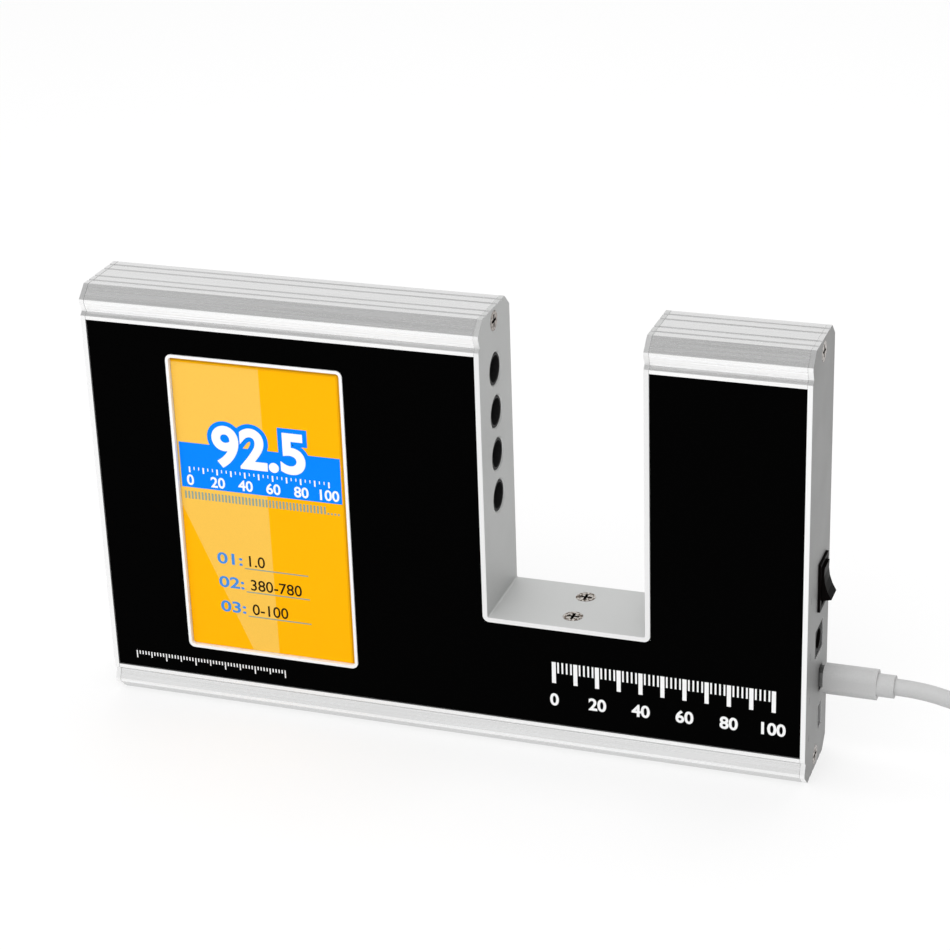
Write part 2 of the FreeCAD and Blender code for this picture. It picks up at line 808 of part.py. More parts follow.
def make_main_board():
    board = block("main_board_plate", ("board_left", "board_front", "board_bottom"),
                  ("board_right - board_left", "board_thick", "board_top - board_bottom"))
    centre_x = "(board_left + board_right) / 2"
    centre_z = "(board_bottom + board_top) / 2"
    chip_bottom = "%s - chip_side / 2" % centre_z
    chip = block("main_board_chip",
                 ("%s - chip_side / 2" % centre_x, "board_front - chip_thick", chip_bottom),
                 ("chip_side", "chip_thick", "chip_side"))
    memory = block("main_board_memory",
                   ("%s + chip_side" % centre_x, "board_front - chip_thick", chip_bottom),
                   ("chip_side / 2", "chip_thick", "chip_side"))
    header = block("main_board_header",
                   ("%s - header_length / 2" % centre_x, "board_front - header_height",
                    "%s - 2 * chip_side" % centre_z),
                   ("header_length", "header_height", "header_width"))
    holes = [rod("main_board_hole_%d" % number, (x, "board_front - cut_margin", z), "+Y",
                 "board_screw_radius + screw_gap", "board_thick + 2 * cut_margin")
             for number, (x, z) in enumerate(board_corners(), start=1)]
    keep(cut("main_board", fuse("main_board_blank", [board, chip, memory, header]), holes), "main_board")

    standoffs = []
    screws = []
    for number, (x, z) in enumerate(board_corners(), start=1):
        seat = (x, "board_back", z)
        post = rod("standoff_post_%d" % number, seat, "+Y", "standoff_radius", "standoff_length")
        thread = rod("standoff_thread_%d" % number, seat, "+Y", "board_screw_radius + screw_gap",
                     "standoff_length - standoff_floor")
        standoffs.append(cut("standoff_%d" % number, post, [thread]))
        head = rod("board_screw_head_%d" % number, (x, "board_front", z), "-Y", "board_screw_head",
                   "screw_head_height")
        shank = rod("board_screw_shank_%d" % number, (x, "board_front", z), "+Y", "board_screw_radius",
                    "board_thick + standoff_length - 2 * standoff_floor")
        name = "board_screw_%d" % number
        top = (x, "board_front - screw_head_height", z)
        screws.append(cut(name, fuse(name + "_blank", [head, shank]), cross_recess(name, top, "+Y")))
    keep(group("main_board_standoffs", standoffs), "main_board_standoffs")
    keep(group("main_board_screws", screws), "main_board_screws")


def make_io_board():
    board = block("io_board", ("io_board_left", "io_board_face", "io_board_bottom"),
                  ("io_board_width", "board_thick", "io_board_height"))
    keep(board, "io_board")
    across = "io_board_left + board_hole_inset"
    heights = ["io_board_bottom + board_hole_inset", "io_board_bottom + io_board_height - board_hole_inset"]
    posts = [rod("io_board_post_%d" % number, (across, "io_board_back", height), "+Y", "standoff_radius",
                 "io_post_length")
             for number, height in enumerate(heights, start=1)]
    keep(group("io_board_posts", posts), "io_board_posts")


def make_battery():
    cell = rod("battery_cell", ("cell_left", "mid_y", "cell_axis_z"), "+X", "cell_radius", "cell_length")
    keep(cell, "battery_cell")
    base = block("cradle_base",
                 ("cell_left - cell_gap - cradle_end", "wall_thick + cradle_wall_gap", "screw_port_side"),
                 ("cell_length + 2 * cell_gap + 2 * cradle_end",
                  "case_depth - 2 * wall_thick - 2 * cradle_wall_gap", "cradle_height"))
    seat = rod("cradle_seat", ("cell_left - cell_gap", "mid_y", "cell_axis_z"), "+X",
               "cell_radius + cell_gap", "cell_length + 2 * cell_gap")
    keep(cut("battery_cradle", base, [seat]), "battery_cradle")


def wire_path(points):
    """Straight runs joined by tangent arcs, each as large as its two runs allow, and the arcs' radii."""
    edges = []
    radii = []
    start = points[0]
    for before, corner, after in zip(points, points[1:], points[2:]):
        back = before - corner
        onward = after - corner
        reach = 0.45 * min(back.Length, onward.Length)
        back.normalize()
        onward.normalize()
        half_turn = (math.pi - back.getAngle(onward)) / 2
        radius = reach / math.tan(half_turn)
        bisector = back + onward
        bisector.normalize()
        arc_start = corner + back * reach
        arc_end = corner + onward * reach
        arc_middle = corner + bisector * (radius / math.cos(half_turn) - radius)
        edges.append(Part.LineSegment(start, arc_start).toShape())
        edges.append(Part.Arc(arc_start, arc_middle, arc_end).toShape())
        radii.append(radius)
        start = arc_end
    edges.append(Part.LineSegment(start, points[-1]).toShape())
    return Part.Wire(edges), radii


def wire(label, points, radius):
    """Round wire along a route of corner points; its section times its length is compared with its volume."""
    corners = [Vector(*point) for point in points]
    path, radii = wire_path(corners)
    ring = Part.Wire(Part.makeCircle(radius, corners[0], corners[1] - corners[0]))
    solid = path.makePipeShell([ring], True, False)
    expected = math.pi * radius ** 2 * path.Length
    print("%s: length %.1f, volume ratio %.4f, tightest bend %.1f"
          % (label, path.Length, solid.Volume / expected, min(radii)))
    item = doc.addObject("Part::Feature", label)
    item.Shape = solid
    move(item)
    return keep(item, label)


def make_wiring():
    """Ribbon from the sensor board and round cables from the boards of the right arm."""
    fold = "board_right - ribbon_fold"
    outer_fold = "board_right - ribbon_fold + ribbon_thick"
    outline = [("sensor_board_back", "mid_y"), ("sensor_board_back", "mid_y + ribbon_thick"),
               (outer_fold, "mid_y + ribbon_thick"), (outer_fold, "board_front"),
               (fold, "board_front"), (fold, "mid_y")]
    ribbon = slab("sensor_cable", "XY_Plane", [outline],
                  "%s + aperture_pitch / 2" % aperture_height(2), "ribbon_width")
    keep(ribbon, "sensor_cable")

    radius = measure("wire_radius")
    bend = measure("wire_bend")
    middle = measure("mid_y")
    lamp_back = measure("light_board_back")
    lamp_z = measure(aperture_height(APERTURE_COUNT - 1))
    io_left = measure("io_board_left + wire_bend")
    io_face = measure("io_board_face")
    io_z = measure("io_board_bottom + io_board_height - wire_bend")
    wire("light_cable", [(lamp_back, middle, lamp_z), (lamp_back + bend, middle, lamp_z),
                         (io_left, middle, lamp_z - 2 * bend), (io_left, middle, io_z),
                         (io_left, io_face, io_z)], radius)

    cell_end = measure("cell_left + cell_length")
    over_cell = measure("cell_axis_z + cell_radius + 2 * wire_radius")
    board_end = measure("board_right")
    front = measure("wall_thick + wire_bend")
    wire("power_cable", [(io_left, io_face, over_cell), (io_left, middle, over_cell),
                         (cell_end, front, over_cell), (board_end + bend, front, over_cell),
                         (board_end - bend, front, over_cell + bend),
                         (board_end - bend, measure("board_front"), over_cell + bend)], radius)


# The rocker switch

def make_switch():
    flange = block("switch_flange",
                   ("case_length", "switch_centre_y - switch_flange_width / 2",
                    "switch_centre_z - switch_flange_height / 2"),
                   ("switch_flange_thick", "switch_flange_width", "switch_flange_height"))
    shell = block("switch_shell",
                  ("case_length - switch_body_depth", "switch_centre_y - switch_body_width / 2",
                   "switch_centre_z - switch_body_height / 2"),
                  ("switch_body_depth", "switch_body_width", "switch_body_height"))
    well = block("switch_well",
                 ("case_length - rocker_well", "switch_centre_y - rocker_width / 2 - rocker_side_gap",
                  "switch_centre_z - rocker_half - rocker_end_gap"),
                 ("rocker_well + switch_flange_thick + cut_margin", "rocker_width + 2 * rocker_side_gap",
                  "2 * rocker_half + 2 * rocker_end_gap"))
    bearing = rod("switch_bearing",
                  ("pivot_x", "switch_centre_y - switch_body_width / 2 - cut_margin", "switch_centre_z"),
                  "+Y", "pivot_radius + pivot_gap", "switch_body_width + 2 * cut_margin")
    keep(cut("switch_housing", fuse("switch_blank", [flange, shell]), [well, bearing]), "switch_housing")

    outline = [("rocker_rise", "-rocker_half"), ("rocker_rise - 3 * rocker_dip / 4", "-rocker_half / 2"),
               ("rocker_rise - rocker_dip", "0"), ("rocker_rise - 3 * rocker_dip / 4", "rocker_half / 2"),
               ("rocker_rise", "rocker_half"), ("-rocker_skirt", "rocker_half"),
               ("-rocker_keel", "rocker_keel_half"), ("-rocker_keel", "-rocker_keel_half"),
               ("-rocker_skirt", "-rocker_half")]
    paddle = slab("rocker_paddle", "XZ_Plane", [outline], "-rocker_width / 2", "rocker_width")
    paddle.Placement = Placement(Vector(), Rotation(Vector(0, -1, 0), measure("rocker_tilt")))
    move(paddle, "pivot_x", "switch_centre_y", "switch_centre_z")
    paddle.setExpression("Placement.Rotation.Angle", formula("rocker_tilt"))
    pins = rod("rocker_pins",
               ("pivot_x", "switch_centre_y - switch_body_width / 2", "switch_centre_z"),
               "+Y", "pivot_radius", "switch_body_width")
    keep(fuse("switch_rocker", [paddle, pins]), "switch_rocker")

    blades = [block("switch_blade_%d" % number,
                    ("case_length - switch_body_depth - terminal_length",
                     "switch_centre_y - terminal_width / 2",
                     "switch_centre_z %s rocker_keel_half - terminal_thick / 2" % side),
                    ("terminal_length", "terminal_width", "terminal_thick"))
              for number, side in enumerate(("-", "+"), start=1)]
    keep(group("switch_terminals", blades), "switch_terminals")


# The sockets on the small board

def make_power_jack():
    axis_y = "io_board_face - jack_width / 2"
    body = block("jack_body",
                 ("jack_front - jack_length", "io_board_face - jack_width",
                  "jack_centre_z - jack_height / 2"),
                 ("jack_length", "jack_width", "jack_height"))
    bore = rod("jack_bore_hole", ("jack_front", axis_y, "jack_centre_z"), "-X", "jack_bore",
               "jack_bore_depth")
    keep(cut("power_jack", body, [bore]), "power_jack")
    pin = rod("power_jack_pin", ("jack_front - jack_bore_depth", axis_y, "jack_centre_z"), "+X",
              "jack_pin_radius", "jack_bore_depth - jack_pin_setback")
    keep(pin, "power_jack_pin")


def trapezoid(centre_z, inset):
    """Section of a small socket or of its plug, narrower towards the front, drawn in by an inset."""
    back = "io_board_face - %s" % inset
    front = "io_board_face - socket_height + %s" % inset
    top = "%s + socket_width / 2 - %s" % (centre_z, inset)
    bottom = "%s - socket_width / 2 + %s" % (centre_z, inset)
    return [(back, bottom), (back, top), ("cord_axis_y", top), (front, top + " - socket_taper"),
            (front, bottom + " + socket_taper"), ("cord_axis_y", bottom)]


def make_small_socket(label, centre_z):
    shell = slab(label + "_shell", "YZ_Plane", [trapezoid(centre_z, "0")], "socket_back", "socket_length")
    hollow = slab(label + "_hollow", "YZ_Plane", [trapezoid(centre_z, "socket_wall")],
                  "socket_back + 2 * socket_wall", "socket_length")
    tongue = block(label + "_tongue",
                   ("socket_back + socket_wall", "cord_axis_y - socket_tongue_thick / 2",
                    "%s - socket_tongue_width / 2" % centre_z),
                   ("socket_length - 2 * socket_wall - socket_tongue_setback", "socket_tongue_thick",
                    "socket_tongue_width"))
    keep(fuse(label, [cut(label + "_case", shell, [hollow]), tongue]), label)


# The lead, from its plug to the far plug

def make_near_plug():
    nose = slab("lead_nose", "YZ_Plane", [trapezoid("usb_centre_z", "(socket_wall + plug_gap)")], "plug_tip",
                "grip_start - plug_tip")
    hollow = slab("lead_nose_hollow", "YZ_Plane",
                  [trapezoid("usb_centre_z", "(socket_wall + plug_gap + plug_wall)")],
                  "plug_tip - cut_margin", "plug_depth + cut_margin")
    keep(cut("lead_plug_shell", nose, [hollow]), "lead_plug_shell")

    grip = slab("lead_grip", "YZ_Plane",
                [rectangle("cord_axis_y - grip_thick / 2", "usb_centre_z - grip_width / 2",
                           "grip_thick", "grip_width")], "grip_start", "grip_length")
    round_off(grip, "lead_grip_corners", "grip_corner", runs_along(Vector(1, 0, 0)))
    collar = rod("lead_collar", ("collar_start", "cord_axis_y", "usb_centre_z"), "+X",
                 "collar_radius", "collar_length")
    keep(fuse("lead_plug_grip", [grip, collar]), "lead_plug_grip")


# Corners of the lead's sagging run, from the end of its collar
CORD_SAG = [
    (7.0, 0.0, 0.0),
    (17.0, 0.3, -2.2),
    (27.5, 1.0, -5.8),
    (38.0, 2.1, -8.5),
]


def make_cord():
    """The lead leaves its collar straight, sags and comes down on the hank."""
    start = [measure("cord_start"), measure("cord_axis_y"), measure("usb_centre_z")]
    hank_left = measure("hank_left")
    entry_y = measure("hank_entry_y")
    lie_z = measure("hank_height - cord_radius")
    sag = [tuple(place + step for place, step in zip(start, corner)) for corner in CORD_SAG]
    landing = [(hank_left - measure("cord_landing"), entry_y, lie_z), (hank_left, entry_y, lie_z)]
    wire("lead_cord", [tuple(start)] + sag + landing, measure("cord_radius"))


def hank_outline():
    """Outline of the lead's turns: two bulbs with their front corners cut, drawn in at the tie."""
    front = "hank_centre_y - hank_width / 2"
    back = "hank_centre_y + hank_width / 2"
    waist_front = "hank_centre_y - hank_waist / 2"
    waist_back = "hank_centre_y + hank_waist / 2"
    return [
        ("hank_left", front + " + hank_corner"), ("hank_left + hank_corner", front),
        ("hank_middle - hank_shoulder", front), ("hank_middle - tie_width", waist_front),
        ("hank_middle + tie_width", waist_front), ("hank_middle + hank_shoulder", front),
        ("hank_right - hank_corner", front), ("hank_right", front + " + hank_corner"),
        ("hank_right", back), ("hank_middle + hank_shoulder", back),
        ("hank_middle + tie_width", waist_back), ("hank_middle - tie_width", waist_back),
        ("hank_middle - hank_shoulder", back), ("hank_left", back),
    ]


def make_hank():
    """Closed solid of the hank's outer shape, with room under it for the tie."""
    turns = slab("hank_turns", "XY_Plane", [hank_outline()], "0", "hank_height")
    room = block("hank_room",
                 ("hank_middle - tie_width / 2 - tie_gap", "hank_centre_y - hank_width / 2", "-cut_margin"),
                 ("tie_width + 2 * tie_gap", "hank_width", "cut_margin + tie_thick + tie_gap"))
    keep(cut("lead_hank", turns, [room]), "lead_hank")
    band = block("tie_band",
                 ("hank_middle - tie_width / 2", "hank_centre_y - hank_waist / 2 - tie_gap - tie_thick", "0"),
                 ("tie_width", "hank_waist + 2 * tie_gap + 2 * tie_thick",
                  "hank_height + 2 * tie_gap + 2 * tie_thick"))
    inside = block("tie_inside",
                   ("hank_middle - tie_width", "hank_centre_y - hank_waist / 2 - tie_gap", "tie_thick"),
                   ("2 * tie_width", "hank_waist + 2 * tie_gap", "hank_height + 2 * tie_gap"))
    keep(cut("lead_tie", band, [inside]), "lead_tie")


def make_far_plug():
    grip = slab("lead_far_grip", "YZ_Plane",
                [rectangle("far_plug_y - far_grip_width / 2", "0", "far_grip_width", "far_grip_thick")],
                "hank_right", "far_grip_length")
    round_off(grip, "lead_far_grip_corners", "grip_corner - grip_edge", runs_along(Vector(1, 0, 0)))
    keep(grip, "lead_far_grip")
    shell_start = "hank_right + far_grip_length"

    def shell_outline(inset):
        return rectangle("far_plug_y - far_shell_width / 2 + %s" % inset,
                         "far_grip_thick / 2 - far_shell_thick / 2 + %s" % inset,
                         "far_shell_width - 2 * %s" % inset, "far_shell_thick - 2 * %s" % inset)

    case = slab("far_shell_case", "YZ_Plane", [shell_outline("0"), shell_outline("far_shell_wall")],
                shell_start, "far_shell_length")
    insert = block("far_shell_insert",
                   (shell_start, "far_plug_y - far_shell_width / 2 + far_shell_wall",
                    "far_grip_thick / 2 - far_shell_thick / 2 + far_shell_wall"),
                   ("far_shell_length - far_shell_lip", "far_shell_width - 2 * far_shell_wall",
                    "far_shell_thick / 2 - far_shell_wall"))
    keep(fuse("lead_far_shell", [case, insert]), "lead_far_shell")


def check_and_export():
    """Stop if any object failed, then write one file for each sub-part."""
    doc.recompute()
    failed = [item.Name for item in doc.Objects if "Invalid" in item.State or "Error" in item.State]
    if failed:
        raise RuntimeError("failed objects: " + ", ".join(failed))
    os.makedirs("parts", exist_ok=True)
    for item in sub_parts:
        if item.Shape.isNull() or not item.Shape.isValid():
            raise RuntimeError("bad shape: " + item.Label)
        item.Shape.exportStep(os.path.join("parts", item.Label + ".step"))
    print("%d sub-parts written" % len(sub_parts))


make_case()
make_panels()
make_end_plates()
make_slot_liner()
make_floor_bar()
make_screws()
make_display()
make_light_path()
make_main_board()
make_io_board()
make_battery()
make_wiring()
make_switch()
make_power_jack()
make_small_socket("usb_socket", "usb_centre_z")
make_small_socket("data_socket", "data_centre_z")
make_near_plug()
make_cord()
make_hank()
make_far_plug()
check_and_export()
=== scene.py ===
import json
import math

import bmesh
import bpy
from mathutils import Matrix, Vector


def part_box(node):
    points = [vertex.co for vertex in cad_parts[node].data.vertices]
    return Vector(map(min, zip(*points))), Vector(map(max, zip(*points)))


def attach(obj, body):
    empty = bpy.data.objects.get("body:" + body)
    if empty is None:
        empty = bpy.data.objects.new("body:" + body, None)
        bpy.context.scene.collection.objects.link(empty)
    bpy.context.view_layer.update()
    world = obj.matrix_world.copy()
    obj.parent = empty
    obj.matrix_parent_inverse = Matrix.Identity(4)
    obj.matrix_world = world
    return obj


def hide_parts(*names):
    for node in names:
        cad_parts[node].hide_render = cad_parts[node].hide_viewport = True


# Looks of the light transmission meter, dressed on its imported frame. Places are given in millimetres from the
# case's front lower left corner, as in the part's source: x along the case, y to the back and z up.

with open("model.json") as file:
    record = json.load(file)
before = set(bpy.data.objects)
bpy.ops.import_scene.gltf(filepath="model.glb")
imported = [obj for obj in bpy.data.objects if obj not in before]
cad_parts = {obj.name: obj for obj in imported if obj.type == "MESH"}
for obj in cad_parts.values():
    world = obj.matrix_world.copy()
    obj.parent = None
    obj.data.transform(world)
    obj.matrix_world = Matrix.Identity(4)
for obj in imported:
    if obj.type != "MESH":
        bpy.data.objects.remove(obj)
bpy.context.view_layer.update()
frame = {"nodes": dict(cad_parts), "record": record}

MM = 0.001
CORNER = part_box("left_end_plate")[0]
scene = bpy.context.scene


def grey(level):
    return (level, level, level)


def at(x, y, z):
    """Point of the scene from a place on the case."""
    return CORNER + Vector((x, y, z)) * MM


def add(name, data):
    """New object in the scene."""
    made = bpy.data.objects.new(name, data)
    scene.collection.objects.link(made)
    return made


# Camera, floor and light

CAMERA_PLACE = (355.882, -648.505, 397.041)
CAMERA_TURN = (65.8824, 1.8378, 18.9939)
CAMERA_LENS = 99.68
CAMERA_SENSOR = 36.0


def make_camera():
    camera = add("camera", bpy.data.cameras.new("camera"))
    camera.data.sensor_width = CAMERA_SENSOR
    camera.data.lens = CAMERA_LENS
    camera.location = at(*CAMERA_PLACE)
    camera.rotation_euler = [math.radians(turn) for turn in CAMERA_TURN]
    scene.camera = camera


def seen_directly(nodes, links, shown, felt):
    """One shader for the camera, mirrors and glass, and the other for the light that falls on things."""
    path = nodes.new("ShaderNodeLightPath")
    share = path.outputs["Is Camera Ray"]
    for ray in ("Is Glossy Ray", "Is Transmission Ray"):
        either = nodes.new("ShaderNodeMath")
        either.operation = "MAXIMUM"
        links.new(share, either.inputs[0])
        links.new(path.outputs[ray], either.inputs[1])
        share = either.outputs[0]
    mix = nodes.new("ShaderNodeMixShader")
    links.new(share, mix.inputs["Fac"])
    links.new(felt, mix.inputs[1])
    links.new(shown, mix.inputs[2])
    return mix.outputs[0]


WORLD_HORIZON = 1.0
WORLD_OVERHEAD = 0.38
# Sines of the heights above the horizon between which the sky darkens
SKY_START = 0.08
SKY_END = 0.88
# Strength of the sky straight to the right, where it is 1 in front, behind and to the left
WORLD_RIGHT = 0.60


def make_world():
    """White behind the object, with a darker sky overhead for the metal to reflect."""
    world = bpy.data.worlds.new("studio")
    scene.world = world
    world.use_nodes = True
    nodes, links = world.node_tree.nodes, world.node_tree.links
    direction = nodes.new("ShaderNodeTexCoord")
    split = nodes.new("ShaderNodeSeparateXYZ")
    links.new(direction.outputs["Generated"], split.inputs[0])
    sky = nodes.new("ShaderNodeMapRange")
    sky.inputs["From Min"].default_value = SKY_START
    sky.inputs["From Max"].default_value = SKY_END
    sky.inputs["To Min"].default_value = WORLD_HORIZON
    sky.inputs["To Max"].default_value = WORLD_OVERHEAD
    links.new(split.outputs["Z"], sky.inputs["Value"])
    links.new(sky.outputs[0], nodes["Background"].inputs["Color"])
    side = nodes.new("ShaderNodeMapRange")
    side.inputs["To Min"].default_value = 1.0
    side.inputs["To Max"].default_value = WORLD_RIGHT
    links.new(split.outputs["X"], side.inputs["Value"])
    links.new(side.outputs[0], nodes["Background"].inputs["Strength"])


FLOOR_HALF = 6.0
FLOOR_TONE = 0.80
FLOOR_ROUGHNESS = 0.9
# Strength of the white that the camera and mirrors see in the floor, and its share beside the lit paper
FLOOR_WHITE = 1.10
FLOOR_SHARE = 0.64


def make_floor():
    """Pale floor that keeps a soft shadow."""
    mesh = bpy.data.meshes.new("floor")
    corners = [(-FLOOR_HALF, -FLOOR_HALF, 0), (FLOOR_HALF, -FLOOR_HALF, 0),
               (FLOOR_HALF, FLOOR_HALF, 0), (-FLOOR_HALF, FLOOR_HALF, 0)]
    mesh.from_pydata(corners, [], [(0, 1, 2, 3)])
    floor = add("floor", mesh)
    material = bpy.data.materials.new("floor")
    material.use_nodes = True
    nodes, links = material.node_tree.nodes, material.node_tree.links
    paper = nodes["Principled BSDF"]
    paper.inputs["Base Color"].default_value = (*grey(FLOOR_TONE), 1)
    paper.inputs["Roughness"].default_value = FLOOR_ROUGHNESS
    white = nodes.new("ShaderNodeEmission")
    white.inputs["Strength"].default_value = FLOOR_WHITE
    shown = nodes.new("ShaderNodeMixShader")
    shown.inputs["Fac"].default_value = FLOOR_SHARE
    links.new(paper.outputs[0], shown.inputs[1])
    links.new(white.outputs[0], shown.inputs[2])
    mixed = seen_directly(nodes, links, shown.outputs[0], paper.outputs[0])
    links.new(mixed, nodes["Material Output"].inputs["Surface"])
    mesh.materials.append(material)


# Place on the case that the lamps point at
LAMP_TARGET = (110, 14, 60)
# Each lamp's place and size in metres, and its power in watts
LAMPS = {
    "key": ((0.15, -1.45, 1.75), 1.5, 22.0),
    "fill": ((-1.30, -1.40, 0.90), 1.6, 6.0),
    "top": ((0.00, 0.45, 1.75), 1.3, 13.0),
}


def make_lamps():
    target = at(*LAMP_TARGET)
    for name, (place, size, power) in LAMPS.items():
        lamp = add(name, bpy.data.lights.new(name, "AREA"))
        lamp.data.size = size
        lamp.data.energy = power
        lamp.location = place
        lamp.rotation_euler = (target - lamp.location).to_track_quat("-Z", "Y").to_euler()
        lamp.visible_glossy = False


# Materials

class Finish:
    """Procedural material: a principled shader and the nodes that feed it."""

    def __init__(self, name, roughness=0.5, metallic=0.0, **sockets):
        self.material = bpy.data.materials.new(name)
        self.material.use_nodes = True
        self.nodes = self.material.node_tree.nodes
        self.links = self.material.node_tree.links
        self.shader = self.nodes["Principled BSDF"]
        self.surface = self.nodes.new("ShaderNodeTexCoord")
        self.shader.inputs["Roughness"].default_value = roughness
        self.shader.inputs["Metallic"].default_value = metallic
        for socket, value in sockets.items():
            self.shader.inputs[socket.replace("_", " ")].default_value = value

    def noise(self, scale, stretch=(1, 1, 1), detail=3.0):
        """Noise from 0 to 1 with features of about 1 / scale metres."""
        mapping = self.nodes.new("ShaderNodeMapping")
        mapping.inputs["Scale"].default_value = stretch
        self.links.new(self.surface.outputs["Object"], mapping.inputs["Vector"])
        texture = self.nodes.new("ShaderNodeTexNoise")
        texture.inputs["Scale"].default_value = scale
        texture.inputs["Detail"].default_value = detail
        texture.inputs["Roughness"].default_value = 0.5
        self.links.new(mapping.outputs[0], texture.inputs["Vector"])
        return texture.outputs["Fac"]

    def toward(self, axis):
        """How much the surface faces along one of the object's own axes: -1 to 1."""
        split = self.nodes.new("ShaderNodeSeparateXYZ")
        self.links.new(self.surface.outputs["Normal"], split.inputs[0])
        return split.outputs[axis]

    def facing(self, axis):
        """The same either way along the axis: 0 to 1."""
        size = self.nodes.new("ShaderNodeMath")
        size.operation = "ABSOLUTE"
        self.links.new(self.toward(axis), size.inputs[0])
        return size.outputs[0]

    def steps(self, source, stops):
        """A grey that follows a source from -1 to 1 through stops of (source, level)."""
        node = self.nodes.new("ShaderNodeValToRGB")
        self.links.new(self.spread(source, 0.0, 1.0, -1.0, 1.0), node.inputs["Fac"])
        ramp = node.color_ramp
        while len(ramp.elements) < len(stops):
            ramp.elements.new(0.5)
        for element, (place, level) in zip(ramp.elements, stops):
            element.position = (place + 1) / 2
            element.color = (level, level, level, 1)
        return node.outputs["Color"]

    def times(self, first, second):
        """Product of two colours."""
        node = self.nodes.new("ShaderNodeVectorMath")
        node.operation = "MULTIPLY"
        self.links.new(first, node.inputs[0])
        self.links.new(second, node.inputs[1])
        return node.outputs[0]

    def spread(self, source, low, high, start=0.3, end=0.7):
        """A value that runs from low to high as the source runs from start to end."""
        node = self.nodes.new("ShaderNodeMapRange")
        for socket, value in {"From Min": start, "From Max": end, "To Min": low, "To Max": high}.items():
            if isinstance(value, bpy.types.NodeSocket):
                self.links.new(value, node.inputs[socket])
            else:
                node.inputs[socket].default_value = value
        self.links.new(source, node.inputs["Value"])
        return node.outputs[0]

    def mix(self, source, low, high, start=0.3, end=0.7):
        """A colour between two, each a colour or another node's output."""
        node = self.nodes.new("ShaderNodeMix")
        node.data_type = "RGBA"
        sockets = {socket.identifier: socket for socket in node.inputs}
        self.links.new(self.spread(source, 0, 1, start, end), sockets["Factor_Float"])
        for socket, colour in ((sockets["A_Color"], low), (sockets["B_Color"], high)):
            if isinstance(colour, tuple):
                socket.default_value = (*colour, 1)
            else:
                self.links.new(colour, socket)
        return next(socket for socket in node.outputs if socket.identifier == "Result_Color")

    def colour(self, source):
        self.links.new(source, self.shader.inputs["Base Color"])

    def roughness(self, source, low, high, start=0.3, end=0.7):
        self.links.new(self.spread(source, low, high, start, end), self.shader.inputs["Roughness"])

    def bump(self, source, depth):
        """Bumps of a depth in metres."""
        node = self.nodes.new("ShaderNodeBump")
        node.inputs["Distance"].default_value = depth
        node.inputs["Strength"].default_value = 1.0
        self.links.new(source, node.inputs["Height"])
        self.links.new(node.outputs[0], self.shader.inputs["Normal"])


ALONG_CASE = (0.01, 1, 1)
# Tone and metal share of the extrusion's faces, by how far each faces up: painted shade darkens the bottom face,
# the faces that slope steeply down and those that slope gently up, and the faces that slope gently down are less
# metal
CASE_SHADE_TONES = [(-1.0, 0.85), (-0.9, 0.70), (-0.6, 0.70), (-0.5, 1.0),
              (0.2, 1.0), (0.3, 0.88), (0.5, 0.88), (0.6, 1.0)]
CASE_METAL = [(-1.0, 0.9), (-0.55, 0.9), (-0.5, 0.25), (-0.3, 0.25), (-0.2, 0.9), (1.0, 0.9)]
# Depths in metres of the lines, grains and scratches that the materials show
LINE_DEPTH = 0.000003
SHEET_DEPTH = 0.000006
PANEL_DEPTH = 0.000002
MOULD_DEPTH = 0.000006
SCRATCH_DEPTH = 0.000003
INK_DEPTH = 0.000001
PLATING_DEPTH = 0.00003


def case_aluminium():
    """Satin anodised extrusion, with faint drawing lines along it and painted shade on its downward bevel and
    groove slopes.
    """
    finish = Finish("case_aluminium")
    lines = finish.noise(1800, ALONG_CASE, detail=1)
    up = finish.toward("Z")
    # Painted shade on the bevel along the floor and on the groove slopes, set by how far each face turns up
    finish.colour(finish.times(finish.mix(lines, grey(0.88), grey(0.96)), finish.steps(up, CASE_SHADE_TONES)))
    finish.links.new(finish.steps(up, CASE_METAL), finish.shader.inputs["Metallic"])
    finish.roughness(lines, 0.24, 0.30)
    finish.bump(lines, LINE_DEPTH)
    return finish.material


def sheet_aluminium(name, dark, pale, edge_tone, edge_axis, edge_range, top_light_gain=1.0):
    """Bead-blasted sheet with bright cut edges, which are told from its faces by the way they face; faces that
    turn up get painted light, a gain on their tone.
    """
    finish = Finish(name)
    grain = finish.noise(9000, detail=2)
    # Painted light: faces that turn up are made lighter by the gain
    lift = finish.steps(finish.toward("Z"), [(0.6, 1.0), (0.9, top_light_gain)])
    face = finish.times(finish.mix(grain, dark, pale), lift)
    edge = finish.mix(finish.noise(4000, detail=2), grey(edge_tone - 0.03), grey(edge_tone + 0.03))
    facing = finish.facing(edge_axis)
    finish.colour(finish.mix(facing, edge, face, *edge_range))
    finish.links.new(finish.spread(facing, 0.92, 0.30, *edge_range), finish.shader.inputs["Metallic"])
    face_roughness = finish.spread(finish.noise(60), 0.48, 0.56)
    roughness = finish.spread(facing, 0.30, face_roughness, *edge_range)
    finish.links.new(roughness, finish.shader.inputs["Roughness"])
    finish.bump(grain, SHEET_DEPTH)
    return finish.material


def plate_aluminium():
    return sheet_aluminium("plate_aluminium", grey(0.27), (0.315, 0.315, 0.31), 0.92, "X", (0.4, 0.8))


def liner_aluminium():
    # The liner's upward faces, the slot's floor, get 16 % painted light
    return sheet_aluminium("liner_aluminium", (0.49, 0.495, 0.49), (0.54, 0.545, 0.54), 0.84, "Y",
                           (0.8, 0.4), top_light_gain=1.16)


def panel_black():
    """Black printed panel with a faint satin texture."""
    finish = Finish("panel_black", Specular_IOR_Level=0.006)
    grain = finish.noise(7000, detail=2)
    finish.colour(finish.mix(grain, grey(0.0004), grey(0.0010)))
    finish.roughness(finish.noise(50), 0.34, 0.42)
    finish.bump(grain, PANEL_DEPTH)
    return finish.material


